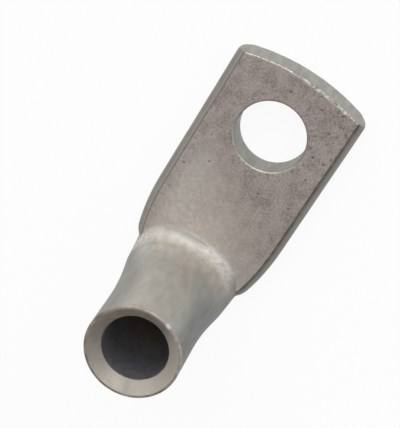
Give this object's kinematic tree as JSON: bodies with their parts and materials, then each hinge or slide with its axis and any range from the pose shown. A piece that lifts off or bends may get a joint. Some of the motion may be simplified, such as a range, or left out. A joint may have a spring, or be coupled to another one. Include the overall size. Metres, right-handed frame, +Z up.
{
  "type": "angled cable lug",
  "caption": "One-piece tinned copper tube lug, bent up square: a flat palm with a stud hole and a round barrel for the stranded conductor.",
  "frame": {"origin": "centre of the stud hole, on the underside of the palm", "axes": "+Z up along the stud hole's axis and along the barrel to its mouth; +X along the palm from the barrel to its free end; +Y across the palm"},
  "size_m": [0.0269, 0.0132, 0.0196],
  "materials": {
    "tinned_copper": "dull satin tin plating over copper"
  },
  "bodies": {
    "root": {"cable_lug": "tinned_copper"}
  },
  "joints": []
}
